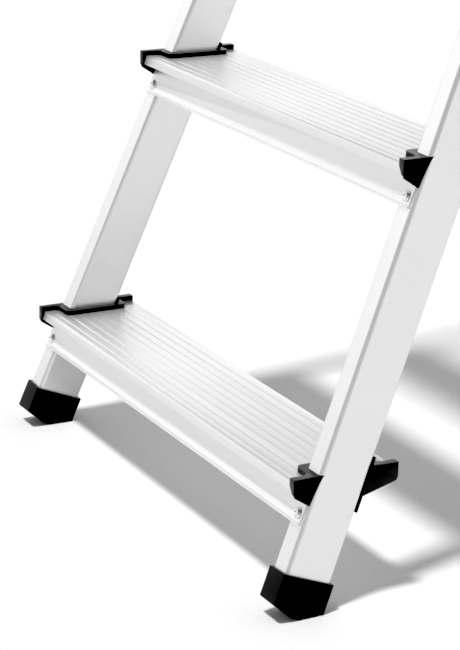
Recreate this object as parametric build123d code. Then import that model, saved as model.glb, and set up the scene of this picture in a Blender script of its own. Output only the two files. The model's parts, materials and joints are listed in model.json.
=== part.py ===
from build123d import *
import os
from math import cos, radians, sin, sqrt, tan

# Folding platform stepladder, standing open. Millimetres, +Z up, +X to the climber's right.
# The climber stands at -Y and faces +Y. The origin is on the floor, midway between the front
# and the rear feet. While the pieces are built, y = 0 is where the front stiles' front faces
# meet the floor; everything is moved to the origin when it is written.

# Front section
FRONT_LEAN = 21.6  # degrees from vertical
TAPER = 0.0624  # each side comes in this much per mm of height
FLOOR_WIDTH = 513.7  # over the stiles' outer faces at the floor
STILE_DEPTH = 45.8
STILE_THICK = 21.5
STILE_WALL = 1.5
STILE_RADIUS = 4.0
STILE_START = 21.0  # length up from the floor line where the metal starts, inside the feet
STILE_ABOVE_PIVOT = 35.0

# Treads
TREAD_COUNT = 4
FIRST_STEP = 115.4  # height of the lowest tread's top
STEP = 250.0
NOSE = 20.1  # tread in front of the stiles
TAIL = 24.5  # tread behind the stiles
PLATE = 2.4
NOSE_DROP = 8.8
NOSE_ROUND = 2.5
NOSE_WALL = 2.0
TAIL_DROP = 10.5
APRON_WALL = 1.6
APRON_LENGTH = 39.8  # down the stiles' front faces
LIP = 1.3  # bead along the apron's lower edge
LIP_FLAT = 1.5
LIP_HIGH = 2.2
TAIL_LIP = 7.0
RIB_DROP = 12.0
GROOVE_WIDTH = 2.0
GROOVE_DEEP = 0.8
GROOVE_PITCH = 9.48
GROOVE_FIRST = 7.7  # from the front edge
GROOVE_EDGE = 1.5  # least distance from the rear edge
GROOVE_PAST = 0.1
END_INSET = 2.5  # tread metal stops this far inside the stiles' outer faces
NOTCH_GAP = 2.4  # plastic between the stile and the notch in the tread

# Tread end caps
RIM_HIGH = 4.3
RIM_WIDE = 7.0
RIM_INNER = 7.2
RIM_FRONT = 5.4  # rim in front of the stile
RIM_REAR = 10.0  # rim behind the stile
RIM_ROUND = 6.0
RIM_SLOPE = 3.5  # slanted corner between the rim and the strip beside the tread's end
NOTCH_WALL_DROP = 9.0
CAP_WALL = 2.5
CAP_INSET = 0.3  # cap's outer face inside the stile's, so the stile stands clear of it
FACE_CLEAR = 5.0  # kept free outside the stile's outer face
EAR_DROP = 8.0
EAR_CUT = 11.8
EAR_TIP = 20.3
EAR_SLOPE = 1.6
EAR_LAP = 6.0  # into the stile's outline, which is cut away afterwards
WRAP_DROP = 2.0
TONGUE_WALL = 2.0
TONGUE_INSET = 0.8
TONGUE_UP = 10.9
TONGUE_DOWN = 33.8
TONGUE_RIVET = 4.0  # its rivet, up from the tongue's lower end

# Feet
FOOT_PROUD = 2.5
FOOT_RADIUS = 2.5
FOOT_HIGH = 44.0  # top edge, measured up the stile from the floor
FOOT_BELOW = 60.0  # blank below the floor line, cut off by the sole
SOLE_RISE = 17.5  # where the sloped front of the sole starts
SOLE_KNEE = (20.0, 3.2)  # the slope eases here: behind the front face, above the floor
SOLE_FLAT = 28.5  # where the sole reaches the floor
TEETH = 4
TOOTH_HIGH = 1.6
TOOTH_FLAT = 0.2  # shares of the pitch
TOOTH_RISE = 0.4

# Rear section
REAR_LEAN = 15.0  # degrees from vertical, the other way
PIVOT_HEIGHT = 1242.0
PIVOT_DEPTH = 88.0  # behind the stiles' front faces
REAR_DEPTH = 28.0
REAR_THICK = 19.5
REAR_WALL = 1.4
REAR_RADIUS = 2.4
REAR_TOP = 14.0  # leg above its pivot
PLUG_FLANGE = 1.8
PLUG_STEM = 4.0
REAR_END = 12.0  # height of the metal's lower end, inside the foot
REAR_SOLE_RISE = 12.0
REAR_KNEE = (7.0, 2.6)  # behind the leg's centre line at the floor, and above the floor
REAR_FLAT = 1.5
PIN_RADIUS = 4.0
RUNNING_GAP = 0.06
BUSH_RADIUS = 7.0
BRACE_HEIGHTS = (130.0, 470.0, 810.0)
BRACE_RADIUS = 9.0
BRACE_WALL = 1.2
SOCKET_WALL = 3.0
SOCKET_LONG = 11.0
BUSH_SIDE_GAP = 0.5
REST_RADIUS = 10.0

# Hinge heads on the front stiles
HEAD_WALL = 3.2
HEAD_BELOW = 48.0
HEAD_ABOVE = 44.0
HEAD_EAR = 17.0
HEAD_ROUND = 5.0
HEAD_RIVETS = (-32.0, 20.0)
WEB = 5.0
FORK_DEEP = 100.0  # slot for the rear leg, open to the rear, above and below
FORK_HIGH = 300.0
BOSS_TOP = 76.0
BOSS_NARROW = 6.0
BOSS_FLOOR = 3.0  # between the stile's end and the hoop's end
PIN_RECESS = 1.0
PIN_HEAD_RADIUS = 7.0
PIN_HEAD_HIGH = 2.6
PIN_HEAD_GAP = 0.4

# Safety hoop
HOOP_RADIUS = 11.0
HOOP_WALL = 1.6
HOOP_TOP = 1700.0  # height of the top bar's centre line
HOOP_BEND = 75.0

# Platform
PLATFORM_TOP = FIRST_STEP + TREAD_COUNT * STEP
PLATFORM_THICK = 30.0
PLATFORM_HALF = 137.0  # half the width of the metal deck
RAIL_THICK = 12.0
RAIL_PROUD = 2.0
RAIL_ROUND = 6.0
AXIS_BELOW_TOP = 15.0
AXIS_DEPTH = 21.0
DECK_WALL_DROP = 26.0
DECK_TAIL_DROP = 18.0
DECK_LIP = 12.0
DECK_TAIL_LIP = 10.0
DECK_RIBS = 3
BORE_REACH = 5.0  # either side of the stile's inner face
HOOK_LIP = 8.0
HOOK_DROP = 9.0
REST_GAP = 0.35
PIN_INSET = 1.0  # pin's end inside the rail's inner face
FLANGE = 2.0
FLANGE_GAP = 0.6
SPACER_RADIUS = 7.5
SPACER_GAP = 0.3

# Fasteners
RIVET_DOWN = 31.0
RIVET_HEAD = 4.9
RIVET_DOME = 2.2
RIVET_SHANK = 2.4
SHANK_PAST = 2.0  # beyond the metal it holds
COLLAR_RADIUS = 3.7
COLLAR_LONG = 3.0
COLLAR_GAP = 0.2
HOLE_CLEAR = 2.0  # holes start this far outside the rivet's seat
SKIN_HOLE = 4.0  # deep enough for an apron or a tongue
STILE_HOLE = 6.0  # deep enough for the stile's wall as well
REAR_RIVET_HEAD = 3.8
TOUCH = 0.02  # gap between pieces that bear on each other

SIDES = {"left": -1, "right": 1}
TREAD_NUMBERS = range(1, TREAD_COUNT + 1)
LEAN_TAN = tan(radians(FRONT_LEAN))
LEAN_SIN = sin(radians(FRONT_LEAN))
LEAN_COS = cos(radians(FRONT_LEAN))
REAR_TAN = tan(radians(REAR_LEAN))
REAR_COS = cos(radians(REAR_LEAN))
SPLAY_TAN = TAPER * LEAN_COS  # side slope per mm along the front plane
SECTION_Y = STILE_DEPTH / LEAN_COS  # stile depth cut by a level plane
HEAD_HALF = STILE_THICK / 2 + HEAD_WALL
FAR = 3000.0
CLEAR = 1.0  # overlap of cutting shapes past the face they cut
CUT_SPAN = 80.0  # leg outline cut away this far above and below a joint
NEAR = 0.1  # tolerance when edges are picked by position


def front_point(x, along, depth):
    """World point: along the leaning front plane from the floor, and depth behind it."""
    return (x, along * LEAN_SIN + depth * LEAN_COS, along * LEAN_COS - depth * LEAN_SIN)


def along_at(height, depth):
    return (height + depth * LEAN_SIN) / LEAN_COS


def stile_centre_x(height):
    return FLOOR_WIDTH / 2 - STILE_THICK / 2 - TAPER * height


def stile_outer_x(height):
    return FLOOR_WIDTH / 2 - TAPER * height


def leaning_plane(origin, y_slope, x_slope):
    """Local z runs up the leg, local y is square to its front face."""
    up = Vector(x_slope, y_slope, 1).normalized()
    back = Vector(0, 1, -y_slope).normalized()
    return Plane(origin=origin, x_dir=back.cross(up), z_dir=up)


def stile_plane(side, height):
    origin = (side * stile_centre_x(height), height * LEAN_TAN, height)
    return leaning_plane(origin, LEAN_TAN, -side * TAPER)


PIVOT_ALONG = along_at(PIVOT_HEIGHT, PIVOT_DEPTH)
PIVOT_LENGTH = PIVOT_ALONG * sqrt(1 + SPLAY_TAN**2)  # true length up a stile
STILE_LENGTH = PIVOT_LENGTH + STILE_ABOVE_PIVOT
PIVOT_X = stile_centre_x(PIVOT_ALONG * LEAN_COS)
PIVOT_Y = front_point(0, PIVOT_ALONG, PIVOT_DEPTH)[1]
REAR_TAPER = SPLAY_TAN / REAR_COS
REST_HEIGHT = PLATFORM_TOP - PLATFORM_THICK - CAP_WALL - REST_RADIUS
AXIS_HEIGHT = PLATFORM_TOP - AXIS_BELOW_TOP
AXIS_ALONG = along_at(AXIS_HEIGHT, AXIS_DEPTH)
AXIS_Y = front_point(0, AXIS_ALONG, AXIS_DEPTH)[1]
AXIS_FACE_X = stile_centre_x(AXIS_ALONG * LEAN_COS) - STILE_THICK / 2


def rear_y(height):
    return PIVOT_Y + (PIVOT_HEIGHT - height) * REAR_TAN


def rear_centre_x(height):
    return PIVOT_X + (PIVOT_HEIGHT - height) * REAR_TAPER


def rear_plane(side, height):
    origin = (side * rear_centre_x(height), rear_y(height), height)
    return leaning_plane(origin, -REAR_TAN, -side * REAR_TAPER)


def across(x, y, z):
    """Plane whose normal is +X, for pins and bores."""
    return Plane(origin=(x, y, z), x_dir=(0, 1, 0), z_dir=(1, 0, 0))


def rod(y, z, radius, x_from, x_to):
    low, high = min(x_from, x_to), max(x_from, x_to)
    return extrude(across(low, y, z) * Circle(radius), amount=high - low)


def side_prism(points, x_from, x_to):
    """Outline of (y, z) points, extruded between two x values."""
    low, high = min(x_from, x_to), max(x_from, x_to)
    return extrude(across(low, 0, 0) * make_face(Polyline(*points, close=True)), amount=high - low)


def block(x_from, x_to, y_from, y_to, z_from, z_to):
    box = Box(abs(x_to - x_from), abs(y_to - y_from), abs(z_to - z_from))
    return Pos((x_from + x_to) / 2, (y_from + y_to) / 2, (z_from + z_to) / 2) * box


def stile_prism(side, low, high, grow=0.0):
    """Solid outer shape of a front stile between two lengths along its front face."""
    plane = stile_plane(side, 0)
    width, depth = STILE_THICK + 2 * grow, STILE_DEPTH + 2 * grow
    section = Pos(0, STILE_DEPTH / 2) * RectangleRounded(width, depth, STILE_RADIUS + grow)
    return extrude(plane.offset(low) * section, amount=high - low)


def leg_prism(side, low, high, grow=0.0):
    """Solid outer shape of a rear leg; lengths are measured up from the pivot."""
    plane = rear_plane(side, PIVOT_HEIGHT)
    width, depth = REAR_THICK + 2 * grow, REAR_DEPTH + 2 * grow
    section = RectangleRounded(width, depth, REAR_RADIUS + grow)
    return extrude(plane.offset(low) * section, amount=high - low)


def sole(rise, knee, flat_y, heel_y):
    """Everything above the sole: a sloped toe, then a row of blunt teeth on the floor."""
    way = 1 if heel_y > flat_y else -1
    pitch = (heel_y - flat_y) / (TEETH - 1 + TOOTH_FLAT)
    points = [(rise[0] - way * FAR, rise[1]), rise, knee]
    for tooth in range(TEETH - 1):
        start = flat_y + tooth * pitch
        points += [(start, 0), (start + TOOTH_FLAT * pitch, 0), (start + TOOTH_RISE * pitch, TOOTH_HIGH)]
    points += [(flat_y + (TEETH - 1) * pitch, 0), (heel_y + way * FAR, 0)]
    points += [(heel_y + way * FAR, FAR), (rise[0] - way * FAR, FAR)]
    return side_prism(points, -FAR, FAR)


def boot(plane, centre_depth, width, depth, sole_cut, pocket):
    """Rubber foot pushed over the end of a leg."""
    section = Pos(0, centre_depth) * RectangleRounded(
        width + 2 * FOOT_PROUD, depth + 2 * FOOT_PROUD, FOOT_RADIUS
    )
    foot = extrude(plane.offset(-FOOT_BELOW) * section, amount=FOOT_BELOW + FOOT_HIGH)
    return (foot & sole_cut) - pocket


def dome(radius, high):
    """Rivet head on the plane z = 0."""
    ball = (radius**2 + high**2) / (2 * high)
    return (Pos(0, 0, high - ball) * Sphere(ball)) & (Pos(0, 0, high / 2) * Cylinder(radius, high))


def rivet(head_radius, grip):
    """Blind rivet: dome on +z, shank and set collar on -z."""
    long = grip + SHANK_PAST
    shank = Pos(0, 0, -long / 2) * Cylinder(RIVET_SHANK, long)
    collar = Pos(0, 0, -grip - COLLAR_GAP - COLLAR_LONG / 2) * Cylinder(COLLAR_RADIUS, COLLAR_LONG)
    return dome(head_radius, RIVET_DOME) + shank + collar


def rivet_hole(plane, deep):
    """Clearance cylinder through the metal behind a rivet's seat."""
    middle = (HOLE_CLEAR - deep) / 2
    return plane * Pos(0, 0, middle) * Cylinder(RIVET_SHANK + TOUCH, deep + HOLE_CLEAR)


def tread_height(number):
    return FIRST_STEP + (number - 1) * STEP


def tread_rivet_plane(side, number):
    """On the apron's outer face, normal towards the climber."""
    top = stile_plane(side, tread_height(number))
    down = top.offset(-RIVET_DOWN)
    origin = down.origin - down.y_dir * (APRON_WALL + TOUCH)
    return Plane(origin=origin, x_dir=down.x_dir, z_dir=-down.y_dir)


def tongue_rivet_plane(side, number):
    """On the cap tongue behind the stile, normal to the rear."""
    up = STILE_DEPTH * LEAN_TAN + TONGUE_RIVET - TONGUE_DOWN
    low = stile_plane(side, tread_height(number)).offset(up)
    origin = low.origin + low.y_dir * (STILE_DEPTH + TONGUE_WALL + TOUCH)
    return Plane(origin=origin, x_dir=low.x_dir, z_dir=low.y_dir)


def groove_cuts(y_from, y_to, top, half_width):
    """V grooves along X in a level top face."""
    count = 1 + int((y_to - y_from - GROOVE_FIRST - GROOVE_EDGE) / GROOVE_PITCH)
    cuts = []
    for index in range(count):
        y = y_from + GROOVE_FIRST + index * GROOVE_PITCH
        mouth = [(y - GROOVE_WIDTH / 2, top + GROOVE_PAST), (y + GROOVE_WIDTH / 2, top + GROOVE_PAST)]
        cuts.append(side_prism([*mouth, (y, top - GROOVE_DEEP)], -half_width, half_width))
    return cuts


def make_stile(side):
    outer = RectangleRounded(STILE_THICK, STILE_DEPTH, STILE_RADIUS)
    bore_size = (STILE_THICK - 2 * STILE_WALL, STILE_DEPTH - 2 * STILE_WALL)
    section = Pos(0, STILE_DEPTH / 2) * (outer - RectangleRounded(*bore_size, STILE_RADIUS - STILE_WALL))
    start = stile_plane(side, 0).offset(STILE_START)
    stile = extrude(start * section, amount=STILE_LENGTH - STILE_START)
    spots = head_rivet_planes(side)
    for number in range(1, TREAD_COUNT + 1):
        spots += [tread_rivet_plane(side, number), tongue_rivet_plane(side, number)]
    for spot in spots:
        stile -= rivet_hole(spot, STILE_HOLE)
    near, far = side * (AXIS_FACE_X - BORE_REACH), side * (AXIS_FACE_X + BORE_REACH)
    return stile - rod(AXIS_Y, AXIS_HEIGHT, PIN_RADIUS + TOUCH, near, far)


def make_tread(number):
    top = tread_height(number)
    face = top * LEAN_TAN
    low_y, high_y = face - NOSE, face + SECTION_Y + TAIL
    half = stile_outer_x(top) - END_INSET

    def on_face(drop, out):
        """Point a given drop along the stile face below the tread, out in front of it."""
        return (face - drop * LEAN_SIN - out * LEAN_COS, top - drop * LEAN_COS + out * LEAN_SIN)

    plate = block(-half, half, low_y, high_y, top - PLATE, top)
    nose = block(-half, half, low_y, low_y + NOSE_WALL, top - NOSE_DROP, top)
    shelf_y = face - NOSE_DROP * LEAN_TAN - TOUCH
    shelf = block(-half, half, low_y, shelf_y, top - NOSE_DROP, top - NOSE_DROP + NOSE_WALL)
    apron = side_prism(
        [
            on_face(PLATE, TOUCH),
            on_face(APRON_LENGTH, TOUCH),
            on_face(APRON_LENGTH, APRON_WALL + LIP),
            on_face(APRON_LENGTH - LIP_FLAT, APRON_WALL + LIP),
            on_face(APRON_LENGTH - LIP_HIGH, APRON_WALL),
            on_face(PLATE, APRON_WALL),
        ],
        -half,
        half,
    )
    rib_y = face + SECTION_Y / 2
    rib = block(-half, half, rib_y, rib_y + NOSE_WALL, top - RIB_DROP, top)
    tail = block(-half, half, high_y - NOSE_WALL, high_y, top - TAIL_DROP, top)
    low = top - TAIL_DROP
    tail_foot = block(-half, half, high_y - TAIL_LIP, high_y, low, low + NOSE_WALL)
    tread = plate + nose + shelf + apron + rib + tail + tail_foot
    for cut in groove_cuts(low_y, high_y, top, half + CLEAR):
        tread -= cut
    for side in SIDES.values():
        inner = side * (stile_centre_x(top) - STILE_THICK / 2 - NOTCH_GAP)
        high = (face + CUT_SPAN * LEAN_TAN, top + CUT_SPAN)
        low = (face - CUT_SPAN * LEAN_TAN, top - CUT_SPAN)
        across_stile = SECTION_Y + NOTCH_GAP
        notch = [high, (high[0] + across_stile, high[1]), (low[0] + across_stile, low[1]), low]
        tread -= side_prism(notch, inner, side * FAR)
        tread -= rivet_hole(tread_rivet_plane(side, number), SKIN_HOLE)
    return round_nose(tread, low_y, top)


def round_nose(shape, y, top):
    corners = shape.edges().filter_by(Axis.X).filter_by_position(Axis.Y, y - NEAR, y + NEAR)
    return fillet(corners.filter_by_position(Axis.Z, top - NEAR, top + NEAR), NOSE_ROUND)


def make_cap(side, number):
    """Black end cap round the stile: ears, raised rim and a tongue down the stile's rear face."""
    top = tread_height(number)
    face = top * LEAN_TAN
    back = face + SECTION_Y
    outer = side * (stile_outer_x(top) - CAP_INSET)
    metal_end = side * (stile_outer_x(top) - END_INSET + TOUCH)
    strip = outer - side * RIM_WIDE
    slant = strip - side * RIM_SLOPE
    stile_inner = side * (stile_centre_x(top) - STILE_THICK / 2)
    inner = stile_inner - side * RIM_INNER
    crest, seat = top + RIM_HIGH, top + TOUCH
    front, rear = face - RIM_FRONT, back + RIM_REAR

    outline = [
        (outer, face - NOSE - CAP_WALL),
        (outer, back + TAIL + CAP_WALL),
        (strip, back + TAIL + CAP_WALL),
        (strip, rear + RIM_SLOPE),
        (slant, rear),
        (inner, rear),
        (inner, front),
        (slant, front),
        (strip, front - RIM_SLOPE),
        (strip, face - NOSE - CAP_WALL),
    ]
    rim = extrude(Plane((0, 0, seat)) * make_face(Polyline(*outline, close=True)), amount=crest - seat)
    corners = rim.edges().filter_by(Axis.Z).filter_by_position(Axis.X, inner - NEAR, inner + NEAR)
    cap = fillet(corners, RIM_ROUND)
    cap += cap_ear(face, face - NOSE, -1, top, strip, metal_end, outer)
    cap += cap_ear(back, back + TAIL, 1, top, strip, metal_end, outer)
    low, slide = top - NOTCH_WALL_DROP, NOTCH_WALL_DROP * LEAN_TAN
    wall = [(face + TOUCH, seat), (back, seat), (back - slide, low), (face + TOUCH - slide, low)]
    cap += side_prism(wall, stile_inner + side * CLEAR, stile_inner - side * (NOTCH_GAP - TOUCH))
    tongue_long = (TONGUE_UP + TONGUE_DOWN) / LEAN_COS
    tongue_middle = STILE_DEPTH * LEAN_TAN + (TONGUE_UP - TONGUE_DOWN) / 2 / LEAN_COS
    tongue = Box(STILE_THICK - 2 * TONGUE_INSET, TONGUE_WALL, tongue_long)
    cap += stile_plane(side, top) * Pos(0, STILE_DEPTH + TONGUE_WALL / 2, tongue_middle) * tongue
    along = along_at(top, 0)
    cap -= stile_prism(side, along - CUT_SPAN, along + CUT_SPAN, TOUCH)
    cap -= stile_plane(side, top) * outer_face_cut(side)
    return cap - rivet_hole(tongue_rivet_plane(side, number), SKIN_HOLE)


def outer_face_cut(side):
    """Box over a stile's outer face and its rear corner, which stay bare."""
    width = STILE_RADIUS + FACE_CLEAR
    depth = STILE_DEPTH + TOUCH - STILE_RADIUS
    middle_x = side * (STILE_THICK / 2 + (FACE_CLEAR - STILE_RADIUS) / 2)
    return Pos(middle_x, STILE_RADIUS + depth / 2, 0) * Box(width, depth, 2 * CUT_SPAN)


def cap_ear(stile_y, reach, sign, top, strip, metal_end, outer):
    """Side plate beside the tread's end, with its wrap over the tread's edge."""
    crest, edge = top + RIM_HIGH, reach + sign * CAP_WALL
    tip_y = stile_y - EAR_TIP * LEAN_TAN + (TONGUE_WALL / LEAN_COS if sign > 0 else 0)
    outline = [
        (stile_y - sign * EAR_LAP, crest),
        (edge, crest),
        (edge, top - EAR_DROP),
        (edge - sign * EAR_SLOPE, top - EAR_CUT),
        (tip_y, top - EAR_TIP),
        (tip_y - sign * EAR_LAP, top - EAR_TIP),
    ]
    plate = side_prism(outline, metal_end, outer)
    wrap = block(strip, outer, reach + sign * TOUCH, edge, top - NOSE_DROP, crest)
    below = top - NOSE_DROP - CLEAR
    slant = make_face(Polyline((strip, top - WRAP_DROP), (metal_end, below), (strip, below), close=True))
    cutter = Plane(origin=(0, edge, 0), x_dir=(1, 0, 0), z_dir=(0, -1, 0)) * slant
    return plate + (wrap - extrude(cutter, amount=2 * CAP_WALL, both=True))


def make_front_foot(side):
    plane = stile_plane(side, 0)
    rise = front_point(0, SOLE_RISE, -FOOT_PROUD)[1:]
    heel = (STILE_DEPTH + FOOT_PROUD) / LEAN_COS
    pocket = stile_prism(side, STILE_START - TOUCH, STILE_LENGTH, TOUCH)
    shape = sole(rise, SOLE_KNEE, SOLE_FLAT, heel)
    return boot(plane, STILE_DEPTH / 2, STILE_THICK, STILE_DEPTH, shape, pocket)


def make_rear_foot(side):
    plane = rear_plane(side, 0)
    half = REAR_DEPTH / 2 + FOOT_PROUD
    heel = rear_y(0) - half / REAR_COS
    rise = (rear_y(REAR_SOLE_RISE) + half / REAR_COS, REAR_SOLE_RISE)
    knee = (rear_y(0) + REAR_KNEE[0], REAR_KNEE[1])
    pocket = leg_prism(side, rear_along(REAR_END), 0, TOUCH)
    shape = sole(rise, knee, rear_y(0) + REAR_FLAT, heel)
    return boot(plane, 0, REAR_THICK, REAR_DEPTH, shape, pocket)


def rear_along(height):
    """Length up the rear leg from the pivot, negative below it, at a height on its centre line."""
    return (height - PIVOT_HEIGHT) * sqrt(1 + REAR_TAN**2 + REAR_TAPER**2)


def make_rear_leg(side):
    plane = rear_plane(side, PIVOT_HEIGHT)
    section = RectangleRounded(REAR_THICK, REAR_DEPTH, REAR_RADIUS) - RectangleRounded(
        REAR_THICK - 2 * REAR_WALL, REAR_DEPTH - 2 * REAR_WALL, REAR_RADIUS - REAR_WALL
    )
    low = rear_along(REAR_END)
    leg = extrude(plane.offset(low) * section, amount=REAR_TOP - low)
    middle = side * PIVOT_X
    leg -= rod(PIVOT_Y, PIVOT_HEIGHT, PIN_RADIUS + RUNNING_GAP, middle - REAR_THICK, middle + REAR_THICK)
    for height in (*BRACE_HEIGHTS, REST_HEIGHT):
        leg -= rivet_hole(brace_rivet_plane(side, height), REAR_THICK + HOLE_CLEAR)
    return leg


def make_leg_plug(side):
    """Moulded plug in the open top of a rear leg."""
    plane = rear_plane(side, PIVOT_HEIGHT).offset(REAR_TOP + TOUCH)
    flange = extrude(plane * RectangleRounded(REAR_THICK, REAR_DEPTH, REAR_RADIUS), amount=PLUG_FLANGE)
    gap = 2 * (REAR_WALL + TOUCH)
    stem_section = RectangleRounded(REAR_THICK - gap, REAR_DEPTH - gap, REAR_RADIUS - REAR_WALL)
    return flange + extrude(plane * stem_section, amount=-PLUG_STEM)


def make_leg_bush(side):
    """Sleeve on the hinge pin, between the walls of the leg."""
    half = REAR_THICK / 2 - REAR_WALL - BUSH_SIDE_GAP
    middle = side * PIVOT_X
    bush = rod(PIVOT_Y, PIVOT_HEIGHT, BUSH_RADIUS, middle - half, middle + half)
    bore = rod(PIVOT_Y, PIVOT_HEIGHT, PIN_RADIUS + RUNNING_GAP, middle - REAR_THICK, middle + REAR_THICK)
    return bush - bore


def brace_rivet_plane(side, height):
    """On the outer face of a rear leg, normal outwards."""
    plane = rear_plane(side, height)
    origin = plane.origin + side * plane.x_dir * (REAR_THICK / 2 + TOUCH)
    return Plane(origin=origin, x_dir=plane.y_dir, z_dir=side * plane.x_dir)


def make_brace(height, radius):
    """Cross tube between the rear legs, ends shaped to the legs' inner faces."""
    reach, y = rear_centre_x(height), rear_y(height)
    tube = rod(y, height, radius, -reach, reach) - rod(y, height, radius - BRACE_WALL, -reach, reach)
    along = rear_along(height)
    for side in SIDES.values():
        tube -= leg_prism(side, along - CUT_SPAN, along + CUT_SPAN, TOUCH)
    return tube


def make_socket(side, height, radius):
    """Moulded cup that holds one end of a cross tube against the leg."""
    reach, y, along = rear_centre_x(height), rear_y(height), rear_along(height)
    inside = reach - REAR_THICK / 2 - SOCKET_LONG
    cup = rod(y, height, radius + SOCKET_WALL, side * inside, side * reach)
    cup -= rod(y, height, radius + TOUCH, side * inside, side * reach)
    return cup - leg_prism(side, along - CUT_SPAN, along + CUT_SPAN, TOUCH)


def head_plane(side):
    """In the stile's own directions, level with the pivot along the stile."""
    return stile_plane(side, 0).offset(PIVOT_LENGTH)


def head_rivet_planes(side):
    """Fasteners through a hinge head and the stile's outer face, normal outwards."""
    planes = []
    for offset in HEAD_RIVETS:
        level = head_plane(side).offset(offset)
        outward = side * level.x_dir
        seat = outward * (HEAD_HALF + TOUCH)
        origin = level.origin + level.y_dir * (STILE_DEPTH / 2) + seat
        planes.append(Plane(origin=origin, x_dir=level.y_dir, z_dir=outward))
    return planes


def make_head(side):
    """Moulded hinge head: shell round the stile's top, cheeks for the rear leg, hoop socket."""
    plane = head_plane(side)
    middle = side * PIVOT_X
    start = plane.origin - plane.x_dir * HEAD_HALF
    profile_plane = Plane(origin=start, x_dir=plane.y_dir, z_dir=plane.x_dir)
    shell = RectangleRounded(STILE_DEPTH + 2 * HEAD_WALL, HEAD_BELOW + HEAD_ABOVE, HEAD_ROUND)
    shell = Pos(STILE_DEPTH / 2, (HEAD_ABOVE - HEAD_BELOW) / 2) * shell
    ear = Pos(PIVOT_DEPTH, 0) * Circle(HEAD_EAR)
    boss = RectangleRounded(STILE_DEPTH - BOSS_NARROW, 2 * (BOSS_TOP - HEAD_ABOVE), HEAD_ROUND)
    side_view = make_hull(shell.edges() + ear.edges()) + Pos(STILE_DEPTH / 2, HEAD_ABOVE) * boss
    head = extrude(profile_plane * side_view, amount=2 * HEAD_HALF)
    fork = Box(STILE_THICK, FORK_DEEP, FORK_HIGH)
    head -= plane * Pos(0, STILE_DEPTH + WEB + FORK_DEEP / 2, 0) * fork
    head -= stile_prism(side, STILE_START, STILE_LENGTH, TOUCH)
    socket_low = STILE_ABOVE_PIVOT + BOSS_FLOOR
    hoop_end = Cylinder(HOOP_RADIUS + TOUCH, BOSS_TOP)
    head -= plane * Pos(0, STILE_DEPTH / 2, socket_low + BOSS_TOP / 2) * hoop_end
    reach = HEAD_HALF + CLEAR
    head -= rod(PIVOT_Y, PIVOT_HEIGHT, PIN_RADIUS + TOUCH, middle - reach, middle + reach)
    for way in (-1, 1):
        flat = middle + way * (HEAD_HALF - PIN_RECESS)
        head -= rod(PIVOT_Y, PIVOT_HEIGHT, PIN_HEAD_RADIUS + PIN_HEAD_GAP, flat, middle + way * reach)
    for spot in head_rivet_planes(side):
        head -= rivet_hole(spot, HEAD_WALL + HOLE_CLEAR)
    return head


def make_hinge_pin(side):
    middle = side * PIVOT_X
    flat = HEAD_HALF - PIN_RECESS + TOUCH
    pin = rod(PIVOT_Y, PIVOT_HEIGHT, PIN_RADIUS, middle - flat, middle + flat)
    for way in (-1, 1):
        spot = (middle + way * flat, PIVOT_Y, PIVOT_HEIGHT)
        end = Plane(origin=spot, x_dir=(0, 1, 0), z_dir=(way, 0, 0))
        pin += end * dome(PIN_HEAD_RADIUS, PIN_HEAD_HIGH)
    return pin


def make_hoop():
    """Bent tube from one hinge head up and over to the other."""
    half_x = FLOOR_WIDTH / 2 - STILE_THICK / 2
    low = (STILE_LENGTH + BOSS_FLOOR + TOUCH) * PIVOT_ALONG / PIVOT_LENGTH
    high = along_at(HOOP_TOP, STILE_DEPTH / 2)
    points = []
    for side, along in ((-1, low), (-1, high), (1, high), (1, low)):
        points.append(front_point(side * (half_x - SPLAY_TAN * along), along, STILE_DEPTH / 2))
    path = FilletPolyline(*points, radius=HOOP_BEND)
    start = Plane(origin=path @ 0, z_dir=path % 0)
    return sweep(start * (Circle(HOOP_RADIUS) - Circle(HOOP_RADIUS - HOOP_WALL)), path=path)


def make_axis_pin(side):
    """Pin riveted into a stile, on which the platform's rail turns."""
    inner_end = PLATFORM_HALF + PIN_INSET
    seat = AXIS_FACE_X + STILE_WALL + FLANGE_GAP
    pin = rod(AXIS_Y, AXIS_HEIGHT, PIN_RADIUS, side * inner_end, side * (seat + FLANGE / 2))
    return pin + rod(AXIS_Y, AXIS_HEIGHT, PIN_RADIUS + FLANGE, side * seat, side * (seat + FLANGE))


def make_spacer(side):
    """Sleeve that keeps the platform clear of the stile."""
    start = side * (PLATFORM_HALF + RAIL_THICK + SPACER_GAP)
    end = side * (AXIS_FACE_X + BORE_REACH)
    sleeve = rod(AXIS_Y, AXIS_HEIGHT, SPACER_RADIUS, start, end)
    sleeve -= rod(AXIS_Y, AXIS_HEIGHT, PIN_RADIUS + TOUCH, start, end)
    return sleeve - stile_prism(side, AXIS_ALONG - CUT_SPAN, AXIS_ALONG + CUT_SPAN, TOUCH)


def make_deck():
    """Ribbed metal deck between the platform's two rails."""
    front, rear = PLATFORM_TOP * LEAN_TAN - NOSE, rear_y(REST_HEIGHT) + REST_RADIUS
    half, top = PLATFORM_HALF - TOUCH, PLATFORM_TOP
    low, tail_low = top - DECK_WALL_DROP, top - DECK_TAIL_DROP
    deck = block(-half, half, front, rear, top - PLATE, top)
    deck += block(-half, half, front, front + NOSE_WALL, low, top)
    deck += block(-half, half, front, front + DECK_LIP, low, low + NOSE_WALL)
    deck += block(-half, half, rear - NOSE_WALL, rear, tail_low, top)
    deck += block(-half, half, rear - DECK_TAIL_LIP, rear, tail_low, tail_low + NOSE_WALL)
    for index in range(1, DECK_RIBS + 1):
        y = front + (rear - front) * index / (DECK_RIBS + 1)
        deck += block(-half, half, y, y + NOSE_WALL, top - RIB_DROP, top)
    for cut in groove_cuts(front, rear, top, half + CLEAR):
        deck -= cut
    return round_nose(deck, front, top)


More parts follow.
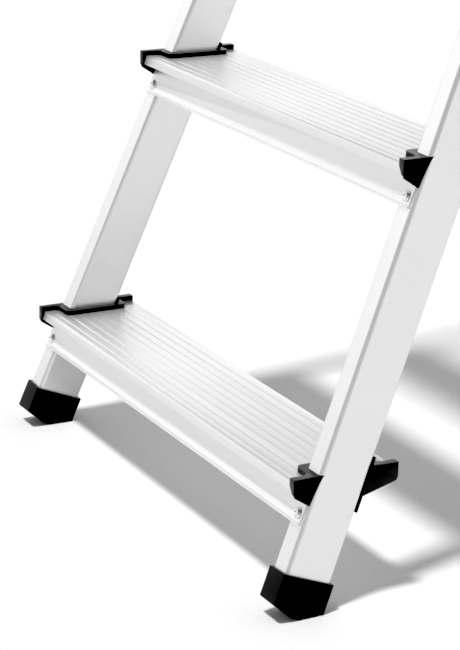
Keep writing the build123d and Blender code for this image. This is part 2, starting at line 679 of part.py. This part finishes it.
def make_rail(side):
    """Moulded side of the platform, with the hook that drops over the rear section's rest tube."""
    low = PLATFORM_TOP - PLATFORM_THICK
    front, rest_y = PLATFORM_TOP * LEAN_TAN - NOSE - CAP_WALL, rear_y(REST_HEIGHT)
    rear = rest_y + REST_RADIUS + REST_GAP + HOOK_LIP
    near, far = side * PLATFORM_HALF, side * (PLATFORM_HALF + RAIL_THICK)
    rail = block(near, far, front, rear, low, PLATFORM_TOP + RAIL_PROUD)
    ends = rail.edges().filter_by(Axis.X).sort_by(Axis.Y)
    rail = fillet(ends[0:2], RAIL_ROUND)
    seat = REST_HEIGHT + REST_RADIUS + REST_GAP
    rail += block(near, far, rest_y, rear, REST_HEIGHT - HOOK_DROP, low + CLEAR)
    rail += block(near, far, rest_y - REST_RADIUS, rest_y, seat, low + CLEAR)
    inside, outside = near - side * CLEAR, far + side * CLEAR
    rail -= rod(rest_y, REST_HEIGHT, REST_RADIUS + REST_GAP, inside, outside)
    return rail - rod(AXIS_Y, AXIS_HEIGHT, PIN_RADIUS + RUNNING_GAP, inside, outside)


def group(shapes):
    return Compound(children=[solid for shape in shapes for solid in shape.solids()])


def make_rivets():
    """Every fastener, grouped by what it holds."""
    tread_spots, cap_spots, head_spots, brace_spots = [], [], [], []
    for side in SIDES.values():
        for number in TREAD_NUMBERS:
            tread_spots.append(tread_rivet_plane(side, number))
            cap_spots.append(tongue_rivet_plane(side, number))
        head_spots += head_rivet_planes(side)
        for height in (*BRACE_HEIGHTS, REST_HEIGHT):
            brace_spots.append(brace_rivet_plane(side, height))
    kinds = {
        "tread_rivets": (tread_spots, RIVET_HEAD, APRON_WALL + STILE_WALL + TOUCH),
        "cap_rivets": (cap_spots, REAR_RIVET_HEAD, TONGUE_WALL + STILE_WALL + TOUCH),
        "head_rivets": (head_spots, RIVET_HEAD, HEAD_WALL + STILE_WALL + TOUCH),
        "brace_rivets": (brace_spots, REAR_RIVET_HEAD, REAR_THICK + TOUCH),
    }
    return {
        name: group(spot * rivet(head, grip) for spot in spots)
        for name, (spots, head, grip) in kinds.items()
    }


def make_side(name, side):
    """The pieces that come in left and right pairs."""
    pieces = {
        f"front_stile_{name}": make_stile(side),
        f"front_foot_{name}": make_front_foot(side),
        f"hinge_head_{name}": make_head(side),
        f"hinge_pin_{name}": make_hinge_pin(side),
        f"hinge_bush_{name}": make_leg_bush(side),
        f"rear_leg_{name}": make_rear_leg(side),
        f"rear_leg_plug_{name}": make_leg_plug(side),
        f"rear_foot_{name}": make_rear_foot(side),
        f"platform_rail_{name}": make_rail(side),
        f"platform_pin_{name}": make_axis_pin(side),
        f"platform_spacer_{name}": make_spacer(side),
    }
    for number in TREAD_NUMBERS:
        pieces[f"tread_cap_{number}_{name}"] = make_cap(side, number)
    return pieces


def make_pieces():
    """Every named piece of the ladder."""
    pieces = make_rivets()
    for number in TREAD_NUMBERS:
        pieces[f"tread_{number}"] = make_tread(number)
    for name, side in SIDES.items():
        pieces |= make_side(name, side)
    for index, height in enumerate(BRACE_HEIGHTS, start=1):
        pieces[f"rear_brace_{index}"] = make_brace(height, BRACE_RADIUS)
    pieces["rest_tube"] = make_brace(REST_HEIGHT, REST_RADIUS)
    pieces["brace_sockets"] = group(
        make_socket(side, height, BRACE_RADIUS) for side in SIDES.values() for height in BRACE_HEIGHTS
    )
    pieces["rest_sockets"] = group(
        make_socket(side, REST_HEIGHT, REST_RADIUS) for side in SIDES.values()
    )
    pieces["safety_hoop"] = make_hoop()
    pieces["platform_deck"] = make_deck()
    return pieces


all_pieces = make_pieces()
toe_y = all_pieces["front_foot_left"].bounding_box().min.Y
heel_y = all_pieces["rear_foot_left"].bounding_box().max.Y
shift = -(toe_y + heel_y) / 2
os.makedirs("parts", exist_ok=True)
for name, piece in all_pieces.items():
    export_step(Pos(0, shift, 0) * piece, f"parts/{name}.step")
print("shift", round(shift, 4))
print("pivot", round(PIVOT_Y + shift, 3), PIVOT_HEIGHT, "x", round(PIVOT_X, 3))
print("platform axis", round(AXIS_Y + shift, 3), round(AXIS_HEIGHT, 3))
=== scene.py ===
import json
import math

import bmesh
import bpy
from mathutils import Matrix, Vector


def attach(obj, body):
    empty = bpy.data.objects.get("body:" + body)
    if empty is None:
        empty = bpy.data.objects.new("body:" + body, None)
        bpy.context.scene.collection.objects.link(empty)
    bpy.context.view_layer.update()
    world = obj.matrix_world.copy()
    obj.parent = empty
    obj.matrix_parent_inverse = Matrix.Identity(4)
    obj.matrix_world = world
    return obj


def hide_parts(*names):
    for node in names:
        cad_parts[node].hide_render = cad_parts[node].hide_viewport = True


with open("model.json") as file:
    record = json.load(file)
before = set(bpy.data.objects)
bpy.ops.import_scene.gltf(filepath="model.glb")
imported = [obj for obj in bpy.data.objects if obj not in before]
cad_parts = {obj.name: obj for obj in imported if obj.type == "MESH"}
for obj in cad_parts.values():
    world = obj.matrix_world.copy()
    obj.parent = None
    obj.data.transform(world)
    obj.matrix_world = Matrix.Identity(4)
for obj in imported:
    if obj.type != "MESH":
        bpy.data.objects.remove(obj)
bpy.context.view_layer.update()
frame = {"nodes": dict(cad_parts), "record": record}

NODES = frame["nodes"]
BODY_OF = {
    node: body
    for body, nodes in frame["record"]["behaviour"]["bodies"].items()
    for node in nodes
}
SLOT_OF = {part["node"]: part["material_slot"] for part in frame["record"]["subparts"]}

# The ladder's own directions, as in the CAD model
LEAN = math.radians(21.6)
REAR_LEAN = math.radians(15.0)
TAPER = 0.0624
REAR_TAPER = TAPER * math.cos(LEAN) / math.cos(REAR_LEAN)
FRONT_NORMAL = Vector((0, -math.cos(LEAN), math.sin(LEAN)))

# Blind rivets, in metres: head radii, height of the dome, radius and depth of the shank
RIVET_HEAD = 0.0049
SMALL_HEAD = 0.0038
RIVET_DOME = 0.0022
RIVET_SHANK = 0.0024
RIVET_DEEP = 0.006
DOME_STEPS = 6
LATHE_SEGMENTS = 40

# Vertices nearer than WELD are joined, and faces flatter than FLAT_ANGLE are merged
WELD = 1e-6
FLAT_ANGLE = math.radians(0.3)
# Edges sharper than BEVEL_ANGLE are broken, and those sharper than SHARP_ANGLE are shaded hard
BEVEL_ANGLE = math.radians(32)
BEVEL_SEGMENTS = 2
SHARP_ANGLE = math.radians(28)
RIVET_SHARP_ANGLE = math.radians(30)

# Widths of the broken edges in metres, by the start of the node's name; the first that fits counts
EDGES = {
    "tread_cap": 0.0005,
    "front_foot": 0.0006,
    "rear_foot": 0.0006,
    "hinge_head": 0.0009,
    "platform_rail": 0.0009,
    "rear_leg_plug": 0.0005,
    "brace_sockets": 0.0005,
    "rest_sockets": 0.0005,
    "platform_spacer": 0.0004,
    "tread_": 0.0003,
    "platform_deck": 0.0003,
}


# Materials

# Sockets of a Mix node that mixes colours
MIX_FACTOR, MIX_A, MIX_B, MIX_RESULT = 0, 6, 7, 2


def principled(name, **values):
    """A new material, its node tree and its shader with the named inputs set."""
    mat = bpy.data.materials.new(name)
    mat.use_nodes = True
    tree = mat.node_tree
    shader = tree.nodes["Principled BSDF"]
    for socket, value in values.items():
        shader.inputs[socket.replace("_", " ")].default_value = value
    return mat, tree, shader


def add(tree, kind, links=None, **settings):
    """A node with its properties and input values set; links maps an input to an output socket."""
    node = tree.nodes.new("ShaderNode" + kind)
    for key, value in settings.items():
        if hasattr(node, key):
            setattr(node, key, value)
        else:
            node.inputs[key.replace("_", " ")].default_value = value
    for key, output in (links or {}).items():
        tree.links.new(output, node.inputs[key])
    return node


def stretched(tree, axis, across_scale, along_scale):
    """Object coordinates with Z turned along an axis, as a scaled and an unscaled output."""
    turn = Vector(axis).normalized().rotation_difference(Vector((0, 0, 1))).to_euler()
    coords = add(tree, "TexCoord")
    turned = add(tree, "Mapping", {"Vector": coords.outputs["Object"]}, vector_type="POINT")
    turned.inputs["Rotation"].default_value = turn
    scaled = add(tree, "Mapping", {"Vector": turned.outputs["Vector"]}, vector_type="POINT")
    scaled.inputs["Scale"].default_value = (across_scale, across_scale, along_scale)
    return scaled.outputs["Vector"], turned.outputs["Vector"]


def ramp(tree, source, low, high, to_low=0.0, to_high=1.0):
    """Takes low..high to to_low..to_high and holds the ends beyond them."""
    node = add(tree, "MapRange", {"Value": source})
    ends = {"From Min": low, "From Max": high, "To Min": to_low, "To Max": to_high}
    for key, value in ends.items():
        node.inputs[key].default_value = value
    return node.outputs["Result"]


def tint(tree, factor, dark, light):
    """A colour between dark and light."""
    mix = tree.nodes.new("ShaderNodeMix")
    mix.data_type = "RGBA"
    mix.inputs[MIX_A].default_value = (*dark, 1)
    mix.inputs[MIX_B].default_value = (*light, 1)
    tree.links.new(factor, mix.inputs[MIX_FACTOR])
    return mix.outputs[MIX_RESULT]


TUBE_GREY = (0.8, 0.802, 0.805)
TREAD_GREY = (0.81, 0.812, 0.815)
BLACK = (0.003, 0.003, 0.0031)
STEEL_DARK = (0.74, 0.74, 0.745)
STEEL_LIGHT = (0.84, 0.84, 0.845)
METAL_SHADE = 0.975  # the darkest of the metal, as a share of its grey
BLACK_SHADES = (0.7, 1.3)  # the darkest and lightest of the black, as shares of it

# How roughness varies about its middle: die lines and handling marks on metal, polish on black
LINE_ROUGH = (-0.02, 0.03)
MARK_ROUGH = 0.08
POLISH = 0.06
STEEL_ROUGH = (0.22, 0.36)

# The values of a noise between which a pattern goes from nothing to full strength
NOISE_SPAN = (0.3, 0.7)
TWO_NOISE_SPAN = (0.7, 1.3)
MARK_SPAN = (0.62, 0.78)
BLACK_SPAN = (0.35, 0.7)
STEEL_SPAN = (0.35, 0.65)


def extruded_metal(name, axis, grey, rough, metallic):
    """Mill-finish aluminium: die lines along the extrusion, faint clouding and handling marks."""
    mat, tree, shader = principled(name, Metallic=metallic, IOR=1.4)
    lines_at, plain_at = stretched(tree, axis, across_scale=900.0, along_scale=2.5)
    lines = add(tree, "TexNoise", {"Vector": lines_at}, Scale=1.0, Detail=3.0, Roughness=0.6)
    clouds = add(tree, "TexNoise", {"Vector": plain_at}, Scale=14.0, Detail=4.0, Roughness=0.55)
    marks = add(tree, "TexNoise", {"Vector": plain_at}, Scale=160.0, Detail=6.0, Roughness=0.75)
    both = {0: lines.outputs["Fac"], 1: clouds.outputs["Fac"]}
    shading = add(tree, "Math", both, operation="ADD")
    factor = ramp(tree, shading.outputs[0], *TWO_NOISE_SPAN)
    colour = tint(tree, factor, [c * METAL_SHADE for c in grey], grey)
    tree.links.new(colour, shader.inputs["Base Color"])
    ends = [rough + change for change in LINE_ROUGH]
    line_rough = ramp(tree, lines.outputs["Fac"], *NOISE_SPAN, *ends)
    mark_rough = ramp(tree, marks.outputs["Fac"], *MARK_SPAN, 0.0, MARK_ROUGH)
    total = add(tree, "Math", {0: line_rough, 1: mark_rough}, operation="ADD")
    tree.links.new(total.outputs[0], shader.inputs["Roughness"])
    bump = add(tree, "Bump", {"Height": lines.outputs["Fac"]}, Strength=0.02, Distance=0.0004)
    tree.links.new(bump.outputs["Normal"], shader.inputs["Normal"])
    return mat


def moulded(name, rough, grain, strength, specular):
    """Moulded black part: fine spark-eroded grain, slightly polished where it is handled."""
    mat, tree, shader = principled(name, Metallic=0.0, IOR=1.46)
    shader.inputs["Specular IOR Level"].default_value = specular
    coords = add(tree, "TexCoord").outputs["Object"]
    fine = add(tree, "TexNoise", {"Vector": coords}, Scale=grain, Detail=5.0, Roughness=0.7)
    broad = add(tree, "TexNoise", {"Vector": coords}, Scale=35.0, Detail=3.0, Roughness=0.5)
    factor = ramp(tree, broad.outputs["Fac"], *BLACK_SPAN)
    colour = tint(tree, factor, *([c * share for c in BLACK] for share in BLACK_SHADES))
    tree.links.new(colour, shader.inputs["Base Color"])
    polish = ramp(tree, broad.outputs["Fac"], *NOISE_SPAN, rough - POLISH, rough + POLISH)
    tree.links.new(polish, shader.inputs["Roughness"])
    bump = add(tree, "Bump", {"Height": fine.outputs["Fac"]}, Strength=strength, Distance=0.0004)
    tree.links.new(bump.outputs["Normal"], shader.inputs["Normal"])
    return mat


def turned_steel(name):
    """Bright zinc-plated steel with a fine matt grain."""
    mat, tree, shader = principled(name, Metallic=1.0)
    coords = add(tree, "TexCoord").outputs["Object"]
    fine = add(tree, "TexNoise", {"Vector": coords}, Scale=900.0, Detail=4.0, Roughness=0.6)
    factor = ramp(tree, fine.outputs["Fac"], *STEEL_SPAN)
    colour = tint(tree, factor, STEEL_DARK, STEEL_LIGHT)
    tree.links.new(colour, shader.inputs["Base Color"])
    polish = ramp(tree, fine.outputs["Fac"], *NOISE_SPAN, *STEEL_ROUGH)
    tree.links.new(polish, shader.inputs["Roughness"])
    bump = add(tree, "Bump", {"Height": fine.outputs["Fac"]}, Strength=0.08, Distance=0.0002)
    tree.links.new(bump.outputs["Normal"], shader.inputs["Normal"])
    return mat


# Directions in which the profiles were extruded; the hoop's is that of its straight sides
AXES = {
    "stile_left": (TAPER, math.tan(LEAN), 1.0),
    "stile_right": (-TAPER, math.tan(LEAN), 1.0),
    "leg": (0.0, -math.tan(REAR_LEAN), 1.0),
    "cross": (1.0, 0.0, 0.0),
    "hoop": (0.0, math.tan(LEAN), 1.0),
}
TUBES = {
    key: extruded_metal("tube_" + key, axis, TUBE_GREY, rough=0.32, metallic=0.8)
    for key, axis in AXES.items()
}
TREAD_METAL = extruded_metal("tread_metal", AXES["cross"], TREAD_GREY, rough=0.36, metallic=0.68)
PLASTIC = moulded("black_plastic", rough=0.32, grain=1500.0, strength=0.05, specular=0.45)
RUBBER = moulded("black_rubber", rough=0.42, grain=900.0, strength=0.1, specular=0.4)
STEEL = turned_steel("zinc_steel")

BY_SLOT = {
    "plastic_black": PLASTIC,
    "rubber_black": RUBBER,
    "steel_fastener": STEEL,
    "tread_aluminium": TREAD_METAL,
}
BY_NAME = {
    "front_stile_left": TUBES["stile_left"],
    "front_stile_right": TUBES["stile_right"],
    "rear_leg_left": TUBES["leg"],
    "rear_leg_right": TUBES["leg"],
    "safety_hoop": TUBES["hoop"],
}


def material_for(node):
    """One material for each slot, but a tube's metal follows its own axis."""
    return BY_SLOT.get(SLOT_OF[node]) or BY_NAME.get(node, TUBES["cross"])


# Pieces


def welded(mesh):
    """A bmesh of a CAD mesh with its doubled vertices joined."""
    work = bmesh.new()
    work.from_mesh(mesh)
    bmesh.ops.remove_doubles(work, verts=work.verts, dist=WELD)
    return work


def shade(mesh, sharp):
    """Smooth shading with hard edges where faces meet at more than an angle."""
    mesh.shade_smooth()
    mesh.set_sharp_from_angle(angle=sharp)


def finish_piece(node, mesh, sharp):
    """Makes the mesh the piece that stands for a CAD node."""
    piece = bpy.data.objects.new(node + "_piece", mesh)
    bpy.context.scene.collection.objects.link(piece)
    shade(mesh, sharp)
    mesh.materials.append(material_for(node))
    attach(piece, BODY_OF[node])
    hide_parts(node)


def soften(node, width):
    """A piece that stands for a CAD node, with its sharp edges broken."""
    work = welded(NODES[node].data)
    bmesh.ops.dissolve_limit(work, angle_limit=FLAT_ANGLE, verts=work.verts, edges=work.edges)
    unbroken = bpy.data.meshes.new(node + "_unbroken")
    work.to_mesh(unbroken)
    work.free()
    holder = bpy.data.objects.new(node + "_unbroken", unbroken)
    bpy.context.scene.collection.objects.link(holder)
    edge = holder.modifiers.new("edge", "BEVEL")
    edge.width = width
    edge.segments = BEVEL_SEGMENTS
    edge.limit_method = "ANGLE"
    edge.angle_limit = BEVEL_ANGLE
    edge.use_clamp_overlap = True
    edge.miter_outer = "MITER_ARC"
    bevelled = holder.evaluated_get(bpy.context.evaluated_depsgraph_get())
    mesh = bpy.data.meshes.new_from_object(bevelled)
    mesh.name = node + "_piece"
    bpy.data.objects.remove(holder)
    bpy.data.meshes.remove(unbroken)
    finish_piece(node, mesh, SHARP_ANGLE)


def axis_frame(axis):
    """Rotation that takes +Z to an axis."""
    return Vector((0, 0, 1)).rotation_difference(axis.normalized()).to_matrix()


def islands(mesh):
    """Vertex positions of each loose part of a mesh."""
    work = welded(mesh)
    seen, parts = set(), []
    for start in work.verts:
        if start in seen:
            continue
        seen.add(start)
        todo, part = [start], []
        while todo:
            vert = todo.pop()
            part.append(vert.co.copy())
            for edge in vert.link_edges:
                other = edge.other_vert(vert)
                if other not in seen:
                    seen.add(other)
                    todo.append(other)
        parts.append(part)
    work.free()
    return parts


def lathe(work, profile, turn, at):
    """Revolves (radius, height) points round an axis and adds them to a bmesh."""
    rings = []
    for radius, height in profile:
        count = 1 if radius == 0 else LATHE_SEGMENTS
        ring = []
        for step in range(count):
            angle = 2 * math.pi * step / LATHE_SEGMENTS
            local = Vector((radius * math.cos(angle), radius * math.sin(angle), height))
            ring.append(work.verts.new(at + turn @ local))
        rings.append(ring)
    for lower, upper in zip(rings, rings[1:]):
        for step in range(LATHE_SEGMENTS):
            after = (step + 1) % LATHE_SEGMENTS
            corners = [lower[step % len(lower)], lower[after % len(lower)]]
            corners += [upper[after % len(upper)], upper[step % len(upper)]]
            work.faces.new(list(dict.fromkeys(corners)))


def blind_rivet(head):
    """Profile from the shank's hidden end, over the dome, down to the broken stem in its middle.
    The flange, dome and stem are shares of the head's radius and the dome's height."""
    points = [(0, -RIVET_DEEP), (RIVET_SHANK, -RIVET_DEEP), (RIVET_SHANK, 0)]
    flange = [(0.96, 0), (1, 0.1), (0.985, 0.2)]
    dome = []
    for step in range(DOME_STEPS + 1):
        share = step / DOME_STEPS
        dome.append((0.93 - 0.53 * share, 0.28 + 0.72 * math.sin(share * math.pi / 2)))
    stem = [(0.35, 0.98), (0.32, 0.9), (0.31, 0.5), (0.24, 0.5), (0.21, 0.62), (0, 0.64)]
    return points + [(head * across, RIVET_DOME * up) for across, up in flange + dome + stem]


def rivet_piece(node, axis_for, head):
    """Blind rivets in place of the CAD's plain ones; axis_for gives the outward axis at a place."""
    mesh = bpy.data.meshes.new(node + "_piece")
    work = bmesh.new()
    for part in islands(NODES[node].data):
        turn = axis_frame(axis_for(sum(part, Vector()) / len(part)))
        local = [turn.transposed() @ corner for corner in part]
        low = [min(corner[i] for corner in local) for i in range(3)]
        high = [max(corner[i] for corner in local) for i in range(3)]
        foot = Vector(((low[0] + high[0]) / 2, (low[1] + high[1]) / 2, high[2] - RIVET_DOME))
        lathe(work, blind_rivet(head), turn, turn @ foot)
    bmesh.ops.recalc_face_normals(work, faces=work.faces)
    work.to_mesh(mesh)
    work.free()
    finish_piece(node, mesh, RIVET_SHARP_ANGLE)


def outward(slope, side_slope):
    """Outward normal of a leg that leans by slope along Y and comes in by side_slope."""

    def axis(at):
        side = 1 if at.x > 0 else -1
        up = Vector((-side * side_slope, slope, 1)).normalized()
        back = Vector((0, 1, -slope)).normalized()
        return side * back.cross(up)

    return axis


RIVETS = {
    "tread_rivets": (lambda at: FRONT_NORMAL, RIVET_HEAD),
    "cap_rivets": (lambda at: -FRONT_NORMAL, SMALL_HEAD),
    "head_rivets": (outward(math.tan(LEAN), TAPER), RIVET_HEAD),
    "brace_rivets": (outward(-math.tan(REAR_LEAN), REAR_TAPER), SMALL_HEAD),
}


def finish_node(node):
    """Puts a detailed piece in a node's place, or gives the CAD node its material."""
    if node in RIVETS:
        rivet_piece(node, *RIVETS[node])
        return
    width = next((width for start, width in EDGES.items() if node.startswith(start)), None)
    if width:
        soften(node, width)
        return
    mesh = NODES[node].data
    mesh.materials.clear()
    mesh.materials.append(material_for(node))
    shade(mesh, SHARP_ANGLE)


for node in NODES:
    finish_node(node)


# Studio

# Camera: place in metres, angles in radians, focal length for a picture IMAGE_HIGH pixels high
CAMERA_AT = Vector((1.66818, -1.29764, 0.79367))
CAMERA_AZIMUTH = 1.06300
CAMERA_ELEVATION = 0.31811
CAMERA_ROLL = 0.02834
FOCAL_PIXELS = 2235.69
IMAGE_HIGH = 650.0
SENSOR = 24.0
CLIP = (0.05, 60.0)

FLOOR_HALF = 12.0
FLOOR_DARK = (0.8, 0.8, 0.8)
FLOOR_LIGHT = (0.83, 0.83, 0.83)

# Main light from overhead: the way its light travels, how wide it looks and its power
KEY_TRAVEL = (-0.12, 0.325, -1.0)
KEY_ANGLE = math.radians(7.0)
KEY_POWER = 2.75

# World: brightness of the walls and the roof, and how far the skirt at the horizon and the
# dark side take the walls down. Each SPAN is where one gives way to the other, as the height
# of a direction or, for the dark side, its closeness to DARK_SIDE.
WALL_LIGHT = 1.36
ROOF_LIGHT = 0.15
ROOF_SPAN = (0.36, 0.78)
SKIRT_LIGHT = 0.5
SKIRT_SPAN = (0.0, 0.15)
DARK_SIDE = (0.6, -0.75, 0.2)
DARK_LIGHT = 0.33
DARK_SPAN = (0.36, 0.68)

BLACK_LEVEL = 0.045


def make_camera():
    """The photo's camera, as solved from the ladder's straight edges."""
    data = bpy.data.cameras.new("camera")
    camera = bpy.data.objects.new("camera", data)
    bpy.context.scene.collection.objects.link(camera)
    azimuth, rise, roll = CAMERA_AZIMUTH, CAMERA_ELEVATION, CAMERA_ROLL
    flat = math.cos(rise)
    back = Vector((math.sin(azimuth) * flat, -math.cos(azimuth) * flat, math.sin(rise)))
    level = Vector((math.cos(azimuth), math.sin(azimuth), 0.0))
    upright = level.cross(-back)
    right = math.cos(roll) * level + math.sin(roll) * upright
    up = -math.sin(roll) * level + math.cos(roll) * upright
    turn = Matrix((right, up, back)).transposed()
    camera.matrix_world = Matrix.Translation(CAMERA_AT) @ turn.to_4x4()
    data.sensor_fit = "VERTICAL"
    data.sensor_height = SENSOR
    data.lens = FOCAL_PIXELS / IMAGE_HIGH * SENSOR
    data.clip_start, data.clip_end = CLIP
    bpy.context.scene.camera = camera


def make_floor():
    """A sheet of white paper with a faint grain."""
    mesh = bpy.data.meshes.new("floor")
    half = FLOOR_HALF
    corners = [(-half, -half, 0), (half, -half, 0), (half, half, 0), (-half, half, 0)]
    mesh.from_pydata(corners, [], [(0, 1, 2, 3)])
    floor = bpy.data.objects.new("floor", mesh)
    bpy.context.scene.collection.objects.link(floor)
    mat, tree, shader = principled("floor_paper", Roughness=0.9)
    shader.inputs["Specular IOR Level"].default_value = 0.1
    coords = add(tree, "TexCoord").outputs["Object"]
    grain = add(tree, "TexNoise", {"Vector": coords}, Scale=220.0, Detail=3.0)
    colour = tint(tree, grain.outputs["Fac"], FLOOR_DARK, FLOOR_LIGHT)
    tree.links.new(colour, shader.inputs["Base Color"])
    mesh.materials.append(mat)


def make_key():
    """A wide sun, for soft shadows that fall to the rear."""
    data = bpy.data.lights.new("key", "SUN")
    data.angle = KEY_ANGLE
    data.energy = KEY_POWER
    lamp = bpy.data.objects.new("key", data)
    bpy.context.scene.collection.objects.link(lamp)
    lamp.rotation_mode = "QUATERNION"
    lamp.rotation_quaternion = Vector(KEY_TRAVEL).to_track_quat("-Z", "Y")


def make_world():
    """White walls under a dark roof, with a darker skirt and one greyer side."""
    world = bpy.data.worlds.new("studio")
    bpy.context.scene.world = world
    world.use_nodes = True
    tree = world.node_tree
    room = tree.nodes["Background"]
    coords = add(tree, "TexCoord").outputs["Generated"]
    height = add(tree, "SeparateXYZ", {"Vector": coords}).outputs["Z"]
    fade = ramp(tree, height, *ROOF_SPAN, WALL_LIGHT, ROOF_LIGHT)
    skirt = ramp(tree, height, *SKIRT_SPAN, SKIRT_LIGHT, 1.0)
    toward = add(tree, "VectorMath", {0: coords}, operation="DOT_PRODUCT")
    toward.inputs[1].default_value = Vector(DARK_SIDE).normalized()
    dark = ramp(tree, toward.outputs["Value"], *DARK_SPAN, 1.0, DARK_LIGHT)
    share = add(tree, "Math", {0: skirt, 1: dark}, operation="MINIMUM").outputs[0]
    level = add(tree, "Math", {0: fade, 1: share}, operation="MULTIPLY")
    tree.links.new(level.outputs[0], room.inputs["Strength"])
    room.inputs["Color"].default_value = (1, 1, 1, 1)


def set_view():
    """Plain display of the light, with the photo's slightly deeper blacks."""
    view = bpy.context.scene.view_settings
    view.view_transform = "Standard"
    view.use_curve_mapping = True
    view.curve_mapping.black_level = (BLACK_LEVEL, BLACK_LEVEL, BLACK_LEVEL)


make_camera()
make_floor()
make_key()
make_world()
set_view()
